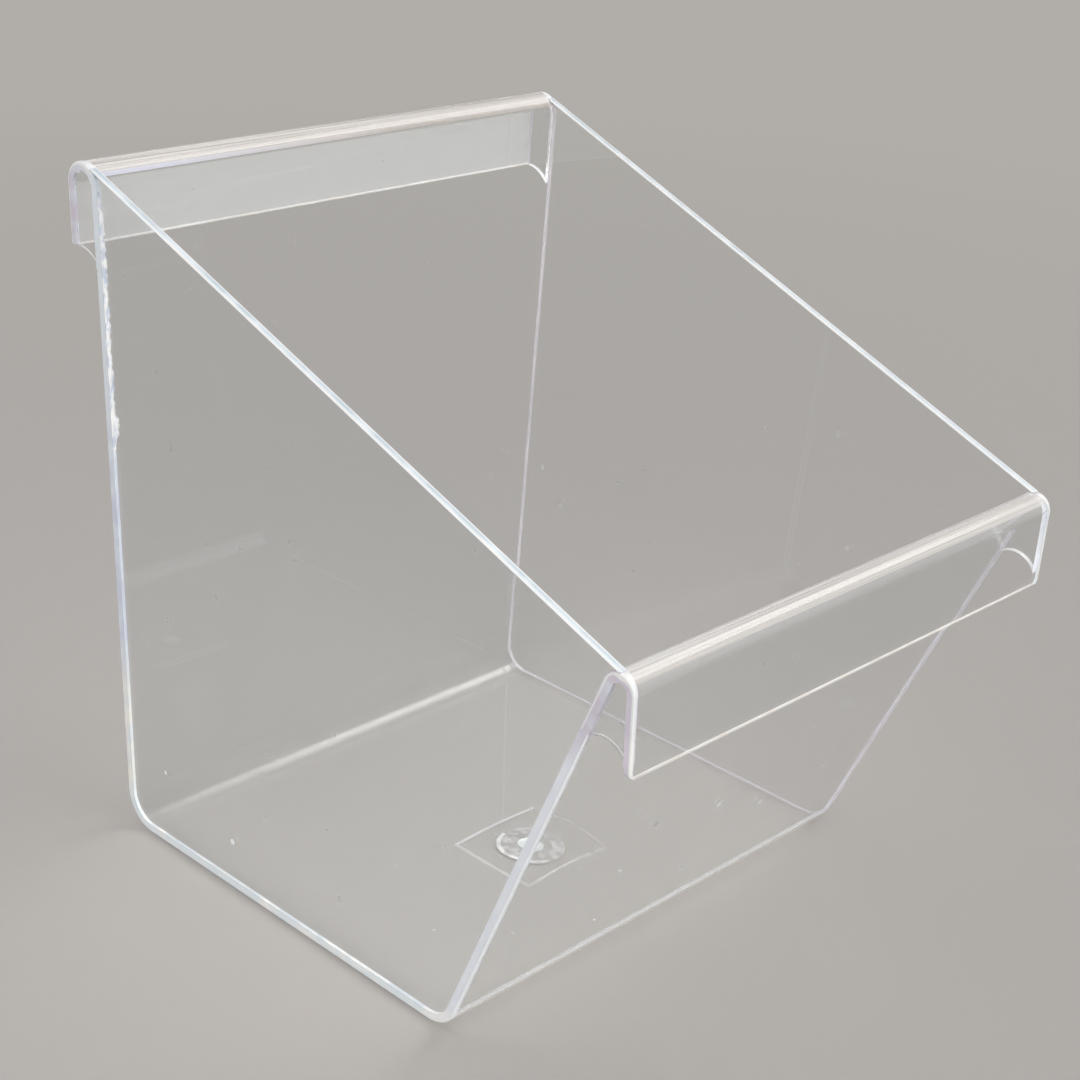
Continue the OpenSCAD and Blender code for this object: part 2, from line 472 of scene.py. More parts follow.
def bonded_material(name):
    """Face that is bonded to its neighbour, where nothing bends the light."""
    material, tree, output = new_material(name)
    shader = principled(tree, Base_Color=(*BONDED_TINT, 1), Alpha=0.0)
    tree.links.new(shader.outputs["BSDF"], output.inputs["Surface"])
    return material


# Tones of the cut ends: the lavender, cool, cream-white and pale ones are painted light, carried along
# inside the sheet and from the key lamp at the left
LAVENDER = (0.68, 0.63, 0.73)
COOL = (0.67, 0.71, 0.84)
COOL_WHITE = (0.8, 0.86, 0.93)
PALE = (0.83, 0.9, 0.95)
CREAM_WHITE = (0.95, 0.95, 0.9)
WHITE = (0.9, 0.92, 0.93)
BRIGHT = (0.97, 0.97, 0.96)
# Tone of the right cut ends: painted shade, for the side away from the key lamp
DIM = (0.68, 0.66, 0.75)
# Heights over which the painted light in the tones of the cut ends changes, and over which the haze of
# the lip's bend sets in
FOOT_FADE = (30, 48)
BACK_FADE = (86, 100)
FRONT_FADE = (72, 81)
LIP_FADE_RISE = 2.1
LIP_FADE = (LIP_C[1], LIP_C[1] + LIP_FADE_RISE)


def even_edge(name, colour, light, clearness=FROSTED):
    """Frosted edge of one tone at every height."""
    return edge_material(name, colour, colour, low=0, high=TOTAL_H, light=light, clearness=clearness)


MATERIALS = {
    "clear": clear_material("clear_sheet", haze=0.05, streak=0.12, clearness=1.0),
    "hazed": clear_material("hazed_sheet", haze=0.12, streak=0.2, clearness=0.85),
    "bend": clear_material("drawn_bend", haze=0.1, streak=0.1, clearness=1.0, least=0.18),
    # Whitish hazy strip on the front bend: haze and a painted highlight along it
    "soft_bend": clear_material("hazed_bend_highlight", haze=0.1, streak=0.25, clearness=0.3, least=0.4),
    "fading_bend": clear_material(
        "fading_bend", haze=0.1, streak=0.25, clearness=0.8, least=0.1, fade=LIP_FADE
    ),
    # Cream streaks on the bends' tops: rubbing, and a painted highlight from the lamps above
    "ridge": ridge_highlight_material(
        "rubbed_bend_highlight", dark=(0.74, 0.69, 0.67), light=(0.97, 0.95, 0.91), clearest=0.5, faded=0.9
    ),
    "lip_ridge": ridge_highlight_material(
        "rubbed_lip_bend_highlight", dark=(0.88, 0.84, 0.81), light=(0.98, 0.96, 0.93), clearest=0.55, faded=0.5
    ),
    "bright_slope": clear_material("bright_slope", haze=0.2, streak=0.1, clearness=0.15, least=0.3),
    "pale_slope": clear_material("pale_slope", haze=0.2, streak=0.1, clearness=0.7, least=0.2),
    # Painted glint at the foot of the hook bend
    "glint": glint_material("bend_foot_glint", left=(0.74, 0.77, 0.92), right=(0.85, 0.78, 0.73)),
    "satin": even_edge("satin_edge", WHITE, light=(0.86, 0.88, 0.9), clearness=0.6),
    "cream": even_edge("cream_edge", (0.9, 0.85, 0.8), light=BRIGHT, clearness=0.35),
    "rim": even_edge("rim_core", (0.6, 0.68, 0.75), light=PALE),
    # White broken edges, partly a painted highlight along the corners of the cut ends and rims
    "line": even_edge("broken_edge_and_highlight", WHITE, light=BRIGHT),
    "hook_end": edge_material(
        "hook_end", COOL_WHITE, LAVENDER, BACK_Y, BACK_Y + HOOK_GAP, light=COOL_WHITE, axis="Y"
    ),
    "back_foot": edge_material("back_end_low", CREAM_WHITE, COOL, *FOOT_FADE, light=COOL_WHITE),
    "back_end": edge_material("back_end_high", COOL, COOL_WHITE, *BACK_FADE, light=PALE),
    "pale_end": even_edge("pale_end", PALE, light=BRIGHT),
    "lit_film": even_edge("lit_film", (0.64, 0.7, 0.76), light=BRIGHT),
    "front_end": edge_material("front_end", (0.87, 0.91, 0.97), LAVENDER, *FRONT_FADE, light=COOL_WHITE),
    "lip_end": even_edge("lip_end", LAVENDER, light=(0.76, 0.72, 0.8)),
    # Right cut ends: a darker tone that is painted shade
    "dim_end": even_edge("dim_end", DIM, light=(0.8, 0.78, 0.86), clearness=0.6),
    "bonded": bonded_material("bonded_face"),
    "veil": film_material(
        "hazy_bond", (0.88, 0.84, 0.88), scale=90, low=0.3, high=0.7, least=0.1, most=0.3
    ),
    "front_veil": film_material(
        "hazy_front_bond", (0.82, 0.8, 0.88), scale=90, low=0.3, high=0.7, least=0.25, most=0.45
    ),
    "mist": film_material(
        "misty_bond", (0.92, 0.92, 0.94), scale=120, low=0.3, high=0.7, least=0.15, most=0.45
    ),
    "milky": film_material(
        "milky_bond", (0.88, 0.91, 0.97), scale=150, low=0.3, high=0.7, least=0.6, most=0.9
    ),
    "frost": film_material(
        "frosted_dimple", (0.85, 0.85, 0.86), scale=420, low=0.35, high=0.7, least=0.15, most=0.6
    ),
    "scrape": film_material(
        "scraped_dimple", (0.95, 0.95, 0.94), scale=420, low=0.3, high=0.6, least=0.45, most=0.9
    ),
    "bead": lumpy_material("cement_bead", dark=(0.6, 0.66, 0.78), light=BRIGHT),
}

# The bent sheet: zones along its side view, and what finish each takes
Station = namedtuple("Station", "point inward zone white")
WEBBED = {"hook", "hook_bend_rear", "hook_bend_top", "hook_bend_ridge", "hook_bend_foot",
          "hook_bend_front", "back_high", "front_high", "lip_bend_inner", "lip_bend_rear",
          "lip_bend_top", "lip_bend_front", "lip_high"}
SEAMED = {"hook_bend_ridge", "hook_bend_foot", "hook_bend_front", "back_high", "back_mid", "back_low",
          "back_bend", "floor", "front_bend", "front_line", "front_low", "front_high", "lip_bend_inner",
          "lip_bend_rear"}
LIP_ZONES = {"lip_bend_inner", "lip_bend_rear", "lip_bend_top", "lip_bend_front", "lip_high", "lip_low"}
RIM_ENDS = {"hook_bend_top", "lip_bend_top", "lip_bend_front", "lip_high", "lip_low"}
LINED_ENDS = RIM_ENDS | {"hook", "hook_bend_rear", "hook_bend_ridge", "front_high", "lip_bend_inner",
                         "lip_bend_rear"}
# The front line's whitish strip is a painted highlight
OUTSIDE_FINISH = {"hook": "hazed", "front_line": "soft_bend"}
INSIDE_FINISH = {"hook": "hazed", "hook_bend_top": "ridge", "hook_bend_ridge": "ridge",
                 "hook_bend_foot": "glint", "back_bend": "bend", "lip_bend_rear": "lip_ridge",
                 "lip_bend_top": "lip_ridge", "lip_bend_front": "fading_bend"}
# Cut ends at the left, painted as lit, with light carried along inside the sheet
LEFT_END = {"hook": "hook_end", "hook_bend_rear": "hook_end", "hook_bend_top": "hook_end",
            "hook_bend_ridge": "hook_end", "hook_bend_foot": "hook_end", "hook_bend_front": "hook_end",
            "back_low": "back_foot", "back_bend": "pale_end", "floor": "pale_end",
            "front_bend": "pale_end", "front_line": "pale_end", "front_low": "front_end",
            "front_high": "front_end"}
# What shows between a web and the sheet: at the left the ends' tones, painted light carried along inside
# the sheet, and mist; at the right films of cement
WEB_FILM = {
    -1: {"hook": "hook_end", "hook_bend_rear": "hook_end", "hook_bend_top": "mist",
         "hook_bend_ridge": "mist", "hook_bend_foot": "mist", "hook_bend_front": "mist",
         "front_high": "front_end", "lip_bend_top": "lip_end", "lip_bend_front": "lip_end",
         "lip_high": "lip_end"},
    1: {"lip_bend_top": "milky", "lip_bend_front": "milky", "lip_high": "milky", "hook": "veil",
        "back_high": "veil", "front_high": "front_veil"},
}
# Share of an end's thickness that its white border takes, at least and added where the rim runs on to it;
# the border is a painted highlight on the corner
END_LINE = 0.12
END_LINE_MORE = 0.6
# Value at which the white border all but vanishes
NO_LINE = -0.19
# Widest share of a rim's width that runs on over a bend
RIM_RUN_ON = 0.96
# How far the corner of a 45 degree edge slides along its face, for each unit that a loop is drawn in
MITRE = math.tan(math.pi / 8)


def flat_run(start, end, inward, zone, white=(0, 0)):
    """Stations along a flat stretch: close to both of its ends, and at the far end."""
    near = NEAR_BEND / math.dist(start, end)
    return [
        Station(
            (between(start[0], end[0], share), between(start[1], end[1], share)),
            inward,
            zone,
            between(*white, share),
        )
        for share in (near, 1 - near, 1)
    ]


def bent_run(centre, radius, start, end, outward, zone, white=(0, 0)):
    """Stations along a bend, without its first point."""
    sign = 1 if outward else -1
    run = []
    steps = math.ceil(abs(end - start) / BEND_STEP)
    for k, point in enumerate(arc(centre, radius, start, end, steps)[1:], 1):
        across = ((point[0] - centre[0]) / radius, (point[1] - centre[1]) / radius)
        run.append(Station(point, (sign * across[0], sign * across[1]), zone, between(*white, k / steps)))
    return run


def corner_run(zone, white):
    """Stations down the lip's rounded lower corners."""
    high = LIP_LOW + LIP_CORNER
    low = LIP_LOW + BREAK
    shares = [math.sin(math.pi / 2 * k / CORNER_STEPS) for k in range(1, CORNER_STEPS + 1)]
    return [Station((LIP_FACE, between(high, low, share)), (-1, 0), zone, white) for share in shares]


def wrap_stations():
    """Stations along the sheet's outer face, from the hook's lower edge to the lip's."""
    rear_tip = rear_tip_angle(0)
    lip_tip = lip_tip_angle(0)
    web_foot = (0, rear_arch_height(0, 0))
    lump_foot = (0, LUMPY_LOW)
    wall_foot = front_arch_at_wall(0)
    lip_foot = (LIP_FACE, front_arch_at_lip(0))
    front_in = (LEAN_COS, LEAN_SIN)
    run = [Station((HOOK_GAP, HOOK_LOW + BREAK), (1, 0), "hook", 0)]
    run += flat_run(run[0].point, (HOOK_GAP, HOOK_C[1]), (1, 0), "hook")
    run += bent_run(HOOK_C, HOOK_IN, 0, HOOK_TOP_ANGLE, True, "hook_bend_rear", white=(0, 0.1))
    run += bent_run(HOOK_C, HOOK_IN, HOOK_TOP_ANGLE, rear_tip, True, "hook_bend_top", white=(0.1, 1))
    run += bent_run(HOOK_C, HOOK_IN, rear_tip, HOOK_GLINT_ANGLE, True, "hook_bend_ridge", white=(1, 0.3))
    run += bent_run(HOOK_C, HOOK_IN, HOOK_GLINT_ANGLE, HOOK_CLEAR_ANGLE, True, "hook_bend_foot")
    run += bent_run(HOOK_C, HOOK_IN, HOOK_CLEAR_ANGLE, 180, True, "hook_bend_front")
    run += flat_run((0, HOOK_C[1]), web_foot, (-1, 0), "back_high")
    run += flat_run(web_foot, lump_foot, (-1, 0), "back_mid")
    run += flat_run(lump_foot, (0, BACK_C[1]), (-1, 0), "back_low")
    run += bent_run(BACK_C, FLOOR_BEND, 0, -90, False, "back_bend")
    run += flat_run((BACK_C[0], 0), (WELL_BACK, 0), (0, 1), "floor")
    run += [Station((WELL_FRONT, 0), (0, 1), "floor", 0)]
    run += flat_run((WELL_FRONT, 0), (FRONT_C[0], 0), (0, 1), "floor")
    run += bent_run(FRONT_C, FLOOR_BEND, 270, FRONT_LINE_START, False, "front_bend")
    run += bent_run(FRONT_C, FLOOR_BEND, FRONT_LINE_START, FRONT_LINE_END, False, "front_line")
    run += bent_run(FRONT_C, FLOOR_BEND, FRONT_LINE_END, 180 + FRONT_LEAN, False, "front_bend")
    run += flat_run(run[-1].point, wall_foot, front_in, "front_low")
    run += flat_run(wall_foot, on(LIP_C, LIP_IN, FRONT_LEAN), front_in, "front_high", white=(NO_LINE, 0))
    run += bent_run(LIP_C, LIP_IN, FRONT_LEAN, LIP_RIDGE_ANGLE, True, "lip_bend_inner")
    run += bent_run(LIP_C, LIP_IN, LIP_RIDGE_ANGLE, lip_tip, True, "lip_bend_rear", white=(0, 1))
    run += bent_run(LIP_C, LIP_IN, lip_tip, LIP_CLEAR_ANGLE, True, "lip_bend_top", white=(1, 0.5))
    run += bent_run(LIP_C, LIP_IN, LIP_CLEAR_ANGLE, 180, True, "lip_bend_front", white=(0.5, 0.3))
    run += flat_run((LIP_FACE, LIP_C[1]), lip_foot, (-1, 0), "lip_high", white=(0.3, 0.25))
    run += flat_run(lip_foot, (LIP_FACE, LIP_LOW + LIP_CORNER), (-1, 0), "lip_low", white=(0.25, 0.2))
    run += corner_run("lip_low", white=0.2)
    return run


def at_depth(station, depth):
    """The point under a station at a depth in the sheet."""
    return (
        station.point[0] + depth * station.inward[0],
        station.point[1] + depth * station.inward[1],
    )


def wrap_loop(stations, inset):
    """Closed side view of the sheet, drawn in by an inset where it isn't bonded, lower edges broken."""
    rise = inset * MITRE
    outside = [at_depth(s, 0 if s.zone in WEBBED else inset) for s in stations]
    inside = [at_depth(s, WALL if s.zone in SEAMED else WALL - inset) for s in stations]
    for side in (outside, inside):
        side[0] = (side[0][0], side[0][1] + rise)
        side[-1] = (side[-1][0], side[-1][1] + rise)
    shallow = BREAK + rise
    deep = WALL - shallow
    lip_edge = [(LIP_FACE - shallow, LIP_LOW + inset), (LIP_FACE - deep, LIP_LOW + inset)]
    hook_edge = [(HOOK_GAP + deep, HOOK_LOW + inset), (HOOK_GAP + shallow, HOOK_LOW + inset)]
    return outside + lip_edge + inside[::-1] + hook_edge


def loop_step(k, count):
    """The face of the sheet that a step along its loop lies on, and the step's station."""
    if k < count - 1:
        return "outside", k + 1
    if k <= count + 1:
        return "lip_edge", count - 1
    if k < 2 * count + 1:
        return "inside", 2 * count + 1 - k
    return "hook_edge", 0


def sheet_end(point):
    """Half width of the sheet at a point, drawn in round the lip's lower corners."""
    y, z = point
    turn_z = LIP_LOW + LIP_CORNER
    if y > LIP_FACE + BREAK or z >= turn_z:
        return half_width(z)
    centre_x = half_width(turn_z) - LIP_CORNER / math.cos(SIDE_DRAFT)
    return centre_x + math.sqrt(max(0.0, LIP_CORNER ** 2 - (turn_z - z) ** 2))


# Shares of the half width at which the columns of the open sheet meet
COLUMN_SHARES = (0.8, 0.5, WELL_SHARE)
# Columns of faces in from an end: the broken edge, the strip that a rim runs on over, and the rest of
# what lies over a side panel; columns after these are open sheet
BROKEN, STRIP, OPEN = 0, 1, 3


def end_finish(zone, side):
    """Finish of the sheet's cut end: painted as lit at the left, with painted shade at the right but for
    the lip.
    """
    if zone in LIP_ZONES:
        return "lip_end" if side == -1 else "pale_end"
    return LEFT_END.get(zone, "back_end") if side == -1 else "dim_end"


def sheet_finish(face, zone, column, side):
    """Finish of a stretch of the sheet in one of the columns on a side."""
    if face in ("lip_edge", "hook_edge"):
        return "cream"
    bonded = WEBBED if face == "outside" else SEAMED
    if column < OPEN and zone in bonded:
        return WEB_FILM[side].get(zone, "bonded") if face == "outside" else "bonded"
    if column == BROKEN:
        # At the right the broken edge takes the ends' painted shade
        return "dim_end" if side == 1 and zone not in LINED_ENDS else "line"
    if face == "outside":
        return OUTSIDE_FINISH.get(zone, "clear")
    if column == STRIP and zone in RIM_ENDS:
        return "line"
    return INSIDE_FINISH.get(zone, "clear")


def well_outline(shell, signs, inset, shift, z):
    """Outline of the well at a height, with bowed sides, drawn in by an inset and shifted forward."""
    half = (WELL_W / 2 - inset, WELL_D / 2 - inset)
    points = []
    for (ax, ay), (bx, by) in zip(signs, signs[1:] + signs[:1]):
        out = (ax if ax == bx else 0, ay if ay == by else 0)
        for k in range(WELL_STEPS):
            share = k / WELL_STEPS
            bow = WELL_BOWS[out] * math.sin(math.pi * share)
            x = between(ax, bx, share) * half[0] + out[0] * bow
            y = between(ay, by, share) * half[1] + out[1] * bow + WELL_Y - shift
            points.append(Vector((x, y, z)) * MM)
    return shell.ring(points)


def gate_mark(shell, corners):
    """Shallow well with a round dimple and a gate stub, inside four corner points of the floor."""
    mid_y = WELL_Y * MM
    signs = [(round(math.copysign(1, c.co.x)), round(math.copysign(1, c.co.y - mid_y))) for c in corners]
    brink = well_outline(shell, signs, 0, 0, 0)
    well = well_outline(shell, signs, WELL_SLOPE, WELL_SHIFT, WELL_H)
    start = math.atan2(signs[0][1], signs[0][0])
    way = 1 if signs[0][0] * signs[1][1] - signs[0][1] * signs[1][0] > 0 else -1
    dimple_r = DIMPLE_D / 2
    stub_r = STUB_D / 2
    ball_r = (dimple_r ** 2 + DIMPLE_H ** 2) / (2 * DIMPLE_H)

    def circle(radius, z):
        angles = [start + way * math.tau * k / DIMPLE_STEPS for k in range(DIMPLE_STEPS)]
        return shell.ring(
            Vector((radius * math.cos(a), radius * math.sin(a) + WELL_Y, z)) * MM for a in angles
        )

    def dimple_z(radius):
        return WELL_H + DIMPLE_H - ball_r + math.sqrt(ball_r ** 2 - radius ** 2)

    def span(ring, k):
        quarter = len(ring) // 4
        return [ring[(k * quarter + j) % len(ring)] for j in range(quarter + 1)]

    def slope_finish(k):
        side_k = k // WELL_STEPS
        at_back = signs[side_k][1] > 0 and signs[(side_k + 1) % 4][1] > 0
        return "bright_slope" if at_back else "pale_slope"

    def on_crescent(k):
        facing = math.degrees(start + way * math.tau * k / DIMPLE_STEPS) % 360
        return CRESCENT[0] < facing < CRESCENT[1]

    rim = circle(dimple_r, WELL_H)
    shell.strip(brink, well, slope_finish)
    for k in range(4):
        shell.face([corners[k], corners[(k + 1) % 4], *span(brink, k)[::-1]], "clear")
        shell.face([*span(well, k), *span(rim, k)[::-1]], "clear")
    inner = rim
    for share, bright, plain in DIMPLE_RINGS:
        radius = between(stub_r, dimple_r, share)
        outer, inner = inner, circle(radius, dimple_z(radius))
        shell.strip(outer, inner, lambda k: bright if on_crescent(k) else plain)
    foot = circle(stub_r, STUB_CLEAR + BREAK)
    tip = circle(stub_r - BREAK, STUB_CLEAR)
    shell.strip(inner, foot, lambda k: "line")
    shell.strip(foot, tip, lambda k: "line")
    shell.face(tip, "line")


def make_wrap():
    """The bent sheet: back with hook, floor with gate mark, front with lip."""
    stations = wrap_stations()
    count = len(stations)
    full = wrap_loop(stations, 0)
    drawn_in = wrap_loop(stations, BREAK)
    size = len(full)
    steps = [loop_step(k, count) for k in range(size)]
    runs_on = [BREAK + (WALL_X - BREAK) * RIM_RUN_ON * max(s.white, END_LINE) for s in stations]
    inside_run_on = [runs_on[2 * count + 1 - k] for k in range(count + 2, 2 * count + 2)]
    plain = (BREAK + WALL_X) / 2
    strips = [plain] * (count + 2) + inside_run_on + [plain] * 2
    shell = Shell()
    row = []
    middles = {}
    for side in (1, -1):
        ends = [sheet_end(p) for p in full]
        half = [shell.ring(place(side * end, p) for end, p in zip(ends, drawn_in))]
        half.append(shell.ring(place(side * (end - BREAK), p) for end, p in zip(ends, full)))
        half.append(shell.ring(place(side * (end - off), p) for end, p, off in zip(ends, full, strips)))
        half.append(shell.ring(place(side * (end - WALL_X), p) for end, p in zip(ends, full)))
        for share in COLUMN_SHARES:
            half.append(shell.ring(place(side * share * half_width(p[1]), p) for p in full))
        lines = [
            at_depth(s, WALL - BREAK - (WALL - 2 * BREAK) * (END_LINE + END_LINE_MORE * s.white))
            for s in stations
        ]
        middles[side] = shell.ring(place(side * sheet_end(p), p) for p in lines)
        row += half if side == 1 else half[::-1]
    last = len(row) - 2
    for c in range(last + 1):
        side = 1 if c <= last / 2 else -1
        column = min(c, last - c)
        for k, (face, at) in enumerate(steps):
            after = (k + 1) % size
            corners = [row[c][k], row[c][after], row[c + 1][after], row[c + 1][k]]
            in_well = face == "outside" and math.isclose(stations[at].point[0], WELL_FRONT)
            if c == last / 2 and in_well and stations[at - 1].point[0] > WELL_FRONT:
                gate_mark(shell, corners)
            else:
                shell.face(corners, sheet_finish(face, stations[at].zone, column, side))
    for ring, side in ((row[0], 1), (row[-1], -1)):
        middle = middles[side]
        for k in range(count - 1):
            zone = stations[k + 1].zone
            opposite = 2 * count + 1 - k
            core = end_finish(zone, side)
            shell.face([ring[k], ring[k + 1], middle[k + 1], middle[k]], core)
            # The white border along each end is a painted highlight on its corner
            border = "line" if zone in LINED_ENDS else core
            shell.face([middle[k], middle[k + 1], ring[opposite - 1], ring[opposite]], border)
        shell.face([*ring[count - 1:count + 3], middle[-1]], "line")
        shell.face([*ring[2 * count + 1:], ring[0], middle[0]], "cream")
    return shell.finish("bent_sheet", "wrap_sheet", "clear_acrylic")


# Plates: side panels and webs
# Rims: white lines at their corners, partly painted highlight, round a cooler core
RIM = ("line", "line", "rim", "line", "line")
BRIGHT_ARCH = ("line",) * 5
FAINT_ARCH = ("satin", "bonded", "bonded", "bonded", "satin")


def make_plate(name, node, side, outline, exposed, edge_finish):
    """A plate behind a side plane, whose outline's first steps are an exposed, broken edge."""
    shell = Shell()
    drawn_in, full = outline(BREAK), outline(0)
    depths = [
        (drawn_in, 0), (full, BREAK), (full, EDGE_LINE),
        (full, WALL_X - EDGE_LINE), (full, WALL_X - BREAK), (drawn_in, WALL_X),
    ]
    rings = [
        shell.ring(place(side * (half_width(p[1]) - depth), p) for p in loop)
        for loop, depth in depths
    ]
    for finish, ring_a, ring_b in zip(edge_finish, rings, rings[1:]):
        shell.strip(ring_a, ring_b, lambda k: finish if k < exposed else "bonded")
    shell.face(rings[0], "clear")
    shell.face(rings[-1][::-1], "clear")
    return shell.finish(name, node, "clear_acrylic")


def panel_outline(inset):
    """Side panel: the rim first, then round the lip bend, front, floor, back and hook bend."""
    inner = FLOOR_IN - BOND
    rear_tip = rear_tip_angle(inset)
    rim = [on(HOOK_C, HOOK_OUT + BOND, rear_tip)]
    lip = arc(LIP_C, LIP_BEND + BOND, lip_tip_angle(inset), FRONT_LEAN, ARC_STEPS)
    front = arc(FRONT_C, inner, 180 + FRONT_LEAN, 270, ARC_STEPS)
    back = arc(BACK_C, inner, -90, 0, ARC_STEPS)
    hook = arc(HOOK_C, HOOK_OUT + BOND, 180, rear_tip, ARC_STEPS)
    return rim + lip + front + back + hook[:-1]


def web_arch(centre, radius, start, end):
    """The arch of a web between two points on it."""
    angles = [math.degrees(math.atan2(p[1] - centre[1], p[0] - centre[0])) for p in (start, end)]
    return arc(centre, radius, *angles, ARC_STEPS)


def rear_web_outline(inset):
    """Rear web: the arch first, from the back wall to the hook, then up and over the bend."""
    ends = [(y, rear_arch_height(y, inset)) for y in (0, HOOK_GAP)]
    arch = web_arch(REAR_ARCH_C, REAR_ARCH_R + inset, *ends)
    return arch + arc(HOOK_C, HOOK_IN, 0, 180, ARC_STEPS)


def front_web_outline(inset):
    """Front web: the arch first, from the lip to the front wall, then up and over the bend."""
    at_lip = (LIP_FACE, front_arch_at_lip(inset))
    arch = web_arch(FRONT_ARCH_C, FRONT_ARCH_R + inset, at_lip, front_arch_at_wall(inset))
    return arch + arc(LIP_C, LIP_IN, FRONT_LEAN, 180, ARC_STEPS)


# Bonds
BEAD_STEP = 0.5
BEAD_LEAST = 0.12
BEAD_MOST = 0.6
BEAD_TAPER = 3.0
# Waves in the bead's size: radians for each millimetre of height, start and weight
BEAD_WAVES = ((1.9, 0, 1), (3.7, 1, 0.8), (0.53, 2, 0.9))
# Corners of the bead's section, as shares of its size
BEAD_SECTION = ((0, 0), (1, 0), (0.85, 0.5), (0.5, 0.85), (0, 1))
# Height and reach of the one large lump, and how far it stands out
LUMP_Z = 95.5
LUMP_REACH = 2.2
LUMP_SIZE = 0.45
# Steps round a bond's cross-section that face the panel's edge and the inside of the bucket
PANEL_FACE = 1
INNER_EDGE = 2


def bead_size(z):
    """Size of the lumpy bead of cement at a height: waves of three lengths and one large lump."""
    swell = sum(weight * math.sin(rate * z + start) for rate, start, weight in BEAD_WAVES)
    most = sum(weight for _, _, weight in BEAD_WAVES)
    share = (swell + most) / (2 * most)
    ends = min(1, (z - LUMPY_LOW) / BEAD_TAPER, (LUMPY_HIGH - z) / BEAD_TAPER)
    lump = LUMP_SIZE * math.exp(-((z - LUMP_Z) / LUMP_REACH) ** 2)
    return between(BEAD_LEAST, BEAD_MOST + lump, share * ends) + lump * ends


def make_bead(shell, side):
    """Cement that was pressed out of the bond into the upper back corner and set in lumps."""
    rings = []
    steps = round((LUMPY_HIGH - LUMPY_LOW) / BEAD_STEP)
    for k in range(steps + 1):
        z = between(LUMPY_LOW, LUMPY_HIGH, k / steps)
        size = bead_size(z)
        face_x = half_width(z) - WALL_X
        rings.append(shell.ring(
            place(side * (face_x - BOND_CLEAR - u * size), (-WALL - BOND_CLEAR - v * size, z))
            for u, v in BEAD_SECTION
        ))
    shell.loft(rings, lambda step, k: "bead")


def make_seam(name, node, side, stations):
    """The bond between a side panel and the sheet: a thin closed strip, lumpy at the upper left back."""
    shell = Shell()
    seamed = [k for k, s in enumerate(stations) if s.zone in SEAMED]
    run = stations[seamed[0] - 1:seamed[-1] + 1]
    rings = []
    for station in run:
        low, high = at_depth(station, WALL + BOND_CLEAR), at_depth(station, WALL + BOND - BOND_CLEAR)
        rings.append(shell.ring([
            place(side * (half_width(low[1]) - BOND_RECESS), low),
            place(side * (half_width(high[1]) - BOND_RECESS), high),
            place(side * (half_width(high[1]) - WALL_X + BOND_RECESS), high),
            place(side * (half_width(low[1]) - WALL_X + BOND_RECESS), low),
        ]))

    def finish_of(step, k):
        if k == INNER_EDGE:
            return "bonded"
        zone = run[step + 1].zone
        if side == 1:
            return "front_veil" if zone.startswith("front") else "veil"
        if zone == "floor" and k == PANEL_FACE:
            return "lit_film"
        # At the left the bond takes the ends' painted light, with lumpy cement at the back
        return "bead" if zone in ("back_high", "back_mid") else end_finish(zone, side)

    shell.loft(rings, finish_of)
    if side == -1:
        make_bead(shell, side)
    return shell.finish(name, node, "bond")


make_wrap()
all_stations = wrap_stations()
for side_name, side, arch_finish in (("left", -1, FAINT_ARCH), ("right", 1, BRIGHT_ARCH)):
    make_plate(f"{side_name}_panel", f"{side_name}_side_panel", side, panel_outline, 1, RIM)
    make_plate(
        f"hook_web_{side_name}", f"rear_{side_name}_web", side, rear_web_outline, ARC_STEPS, arch_finish
    )
    make_plate(
        f"lip_web_{side_name}", f"front_{side_name}_web", side, front_web_outline, ARC_STEPS, arch_finish
    )
    make_seam(f"{side_name}_bond", f"{side_name}_seam", side, all_stations)

# Stage: pale floor, soft light and the photograph's camera, in metres
FLOOR_HALF = 6.0
FLOOR_COLOUR = (0.46, 0.435, 0.415)
# How far the floor lies below the bucket, so that their faces don't coincide
FLOOR_DROP = 0.0001
# Tone that the lit floor takes on further out, and the distances in metres over which it does
BACKDROP = (0.44, 0.42, 0.395)
BACKDROP_NEAR = 0.22
BACKDROP_FAR = 0.8
# Point that the lamps are turned to
LIT_POINT = (0, 0, 0.07)
# The photograph's viewpoint, in degrees, metres and millimetres of lens
CAMERA_AT = (-0.2936, -0.2699, 0.2486)
CAMERA_YAW = 46.93
CAMERA_PITCH = 23.44
CAMERA_ROLL = 3.41
CAMERA_LENS = 69.22
CAMERA_SENSOR = 36.0
CAMERA_CLIP = (0.01, 50)


def seen_directly(tree):
    """1 for rays that show the stage, straight or by gloss or glass, and 0 for rays that carry light."""
    path = add_node(tree, "ShaderNodeLightPath")
    shiny = combined(tree, "MAXIMUM", path.outputs["Is Glossy Ray"], path.outputs["Is Transmission Ray"])
    return combined(tree, "MAXIMUM", path.outputs["Is Camera Ray"], shiny)


def make_floor():
    """A plain pale floor that catches the shadow and runs out into an even backdrop."""
    data = bpy.data.meshes.new("studio_floor")
    half = FLOOR_HALF
    corners = [(-half, -half, 0), (half, -half, 0), (half, half, 0), (-half, half, 0)]
    data.from_pydata(corners, [], [(0, 1, 2, 3)])
    floor = bpy.data.objects.new("studio_floor", data)
    floor.location.z = -FLOOR_DROP
    bpy.context.scene.collection.objects.link(floor)
    material, tree, output = new_material("pale_floor")
    shader = principled(tree, Base_Color=(*FLOOR_COLOUR, 1), Roughness=0.9, Specular_IOR_Level=0.0)
    even = add_node(tree, "ShaderNodeEmission", Color=(*BACKDROP, 1))
    reach = add_node(tree, "ShaderNodeVectorMath", operation="LENGTH")
    tree.links.new(frame_point(tree), reach.inputs[0])
    outward = levels(tree, reach.outputs["Value"], BACKDROP_NEAR, BACKDROP_FAR)
    mix_shaders(tree, combined(tree, "MULTIPLY", outward, seen_directly(tree)), shader, even, output)
    data.materials.append(material)


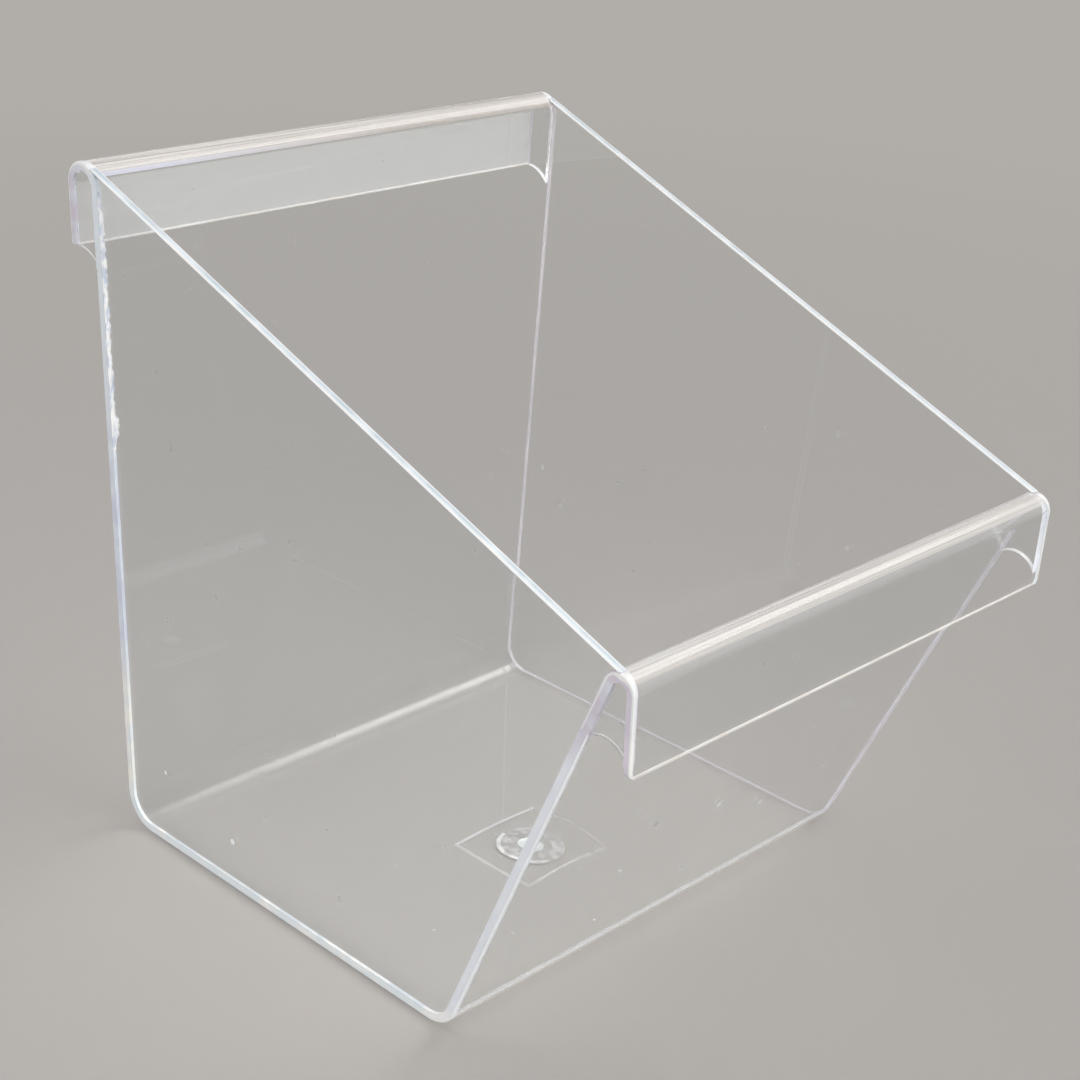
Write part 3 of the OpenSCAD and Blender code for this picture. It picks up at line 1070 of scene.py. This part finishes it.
def soft_light(name, at, width, height, watts, colour, shiny=True):
    """A soft lamp that the camera never sees, and that gloss and glass show only if it is shiny."""
    data = bpy.data.lights.new(name, "AREA")
    data.shape = "RECTANGLE"
    data.size, data.size_y = width, height
    data.energy = watts
    data.color = colour
    lamp = bpy.data.objects.new(name, data)
    lamp.location = at
    lamp.rotation_mode = "QUATERNION"
    lamp.rotation_quaternion = (Vector(LIT_POINT) - Vector(at)).to_track_quat("-Z", "Y")
    lamp.visible_camera = False
    lamp.visible_glossy = shiny
    lamp.visible_transmission = shiny
    bpy.context.scene.collection.objects.link(lamp)


def make_world(colour, strength):
    """Even light from all round, behind the backdrop's tone."""
    world = bpy.data.worlds.new("studio_world")
    world.use_nodes = True
    tree = world.node_tree
    tree.nodes.clear()
    output = add_node(tree, "ShaderNodeOutputWorld")
    light = add_node(tree, "ShaderNodeBackground", Color=(*colour, 1), Strength=strength)
    even = add_node(tree, "ShaderNodeBackground", Color=(*BACKDROP, 1))
    mix_shaders(tree, seen_directly(tree), light, even, output)
    bpy.context.scene.world = world


def make_camera():
    """The photograph's viewpoint, from its solved place, turn, tilt, roll and lens."""
    yaw, pitch, roll = (math.radians(angle) for angle in (CAMERA_YAW, CAMERA_PITCH, CAMERA_ROLL))
    back = Vector((
        -math.sin(yaw) * math.cos(pitch), -math.cos(yaw) * math.cos(pitch), math.sin(pitch)
    ))
    level_right = Vector((math.cos(yaw), -math.sin(yaw), 0))
    level_up = back.cross(level_right)
    right = level_right * math.cos(roll) + level_up * math.sin(roll)
    up = level_up * math.cos(roll) - level_right * math.sin(roll)
    data = bpy.data.cameras.new("photo_camera")
    data.sensor_width = CAMERA_SENSOR
    data.lens = CAMERA_LENS
    data.clip_start, data.clip_end = CAMERA_CLIP
    camera = bpy.data.objects.new("photo_camera", data)
    pose = Matrix((right, up, back)).transposed().to_4x4()
    pose.translation = Vector(CAMERA_AT)
    camera.matrix_world = pose
    bpy.context.scene.collection.objects.link(camera)
    bpy.context.scene.camera = camera


make_floor()
soft_light("key_light", (-2.0, -0.9, 1.5), width=2.6, height=2.6, watts=36, colour=(1.0, 0.985, 0.96))
soft_light("top_light", (0.3, 0.2, 2.7), width=2.0, height=2.0, watts=16, colour=(0.96, 0.98, 1.0))
soft_light("fill_light", (-0.3, -2.2, 0.4), width=2.0, height=0.6, watts=20, colour=(1.0, 1.0, 1.0))
soft_light("ridge_light", (1.8, -0.1, 2.0), width=1.0, height=1.0, watts=14, colour=(1.0, 0.97, 0.93))
soft_light(
    "rear_light", (-0.6, 2.3, 0.9), width=1.6, height=1.6, watts=8, colour=(0.97, 0.98, 1.0), shiny=False
)
make_world(colour=(0.95, 0.97, 1.0), strength=0.3)
make_camera()

# Light that runs along inside a sheet needs many bounces to reach the sheet's far end
SHEET_BOUNCES = 200
scene = bpy.context.scene
scene.view_settings.view_transform = "Standard"
scene.cycles.max_bounces = SHEET_BOUNCES
scene.cycles.transmission_bounces = SHEET_BOUNCES
scene.cycles.glossy_bounces = SHEET_BOUNCES
scene.cycles.transparent_max_bounces = SHEET_BOUNCES
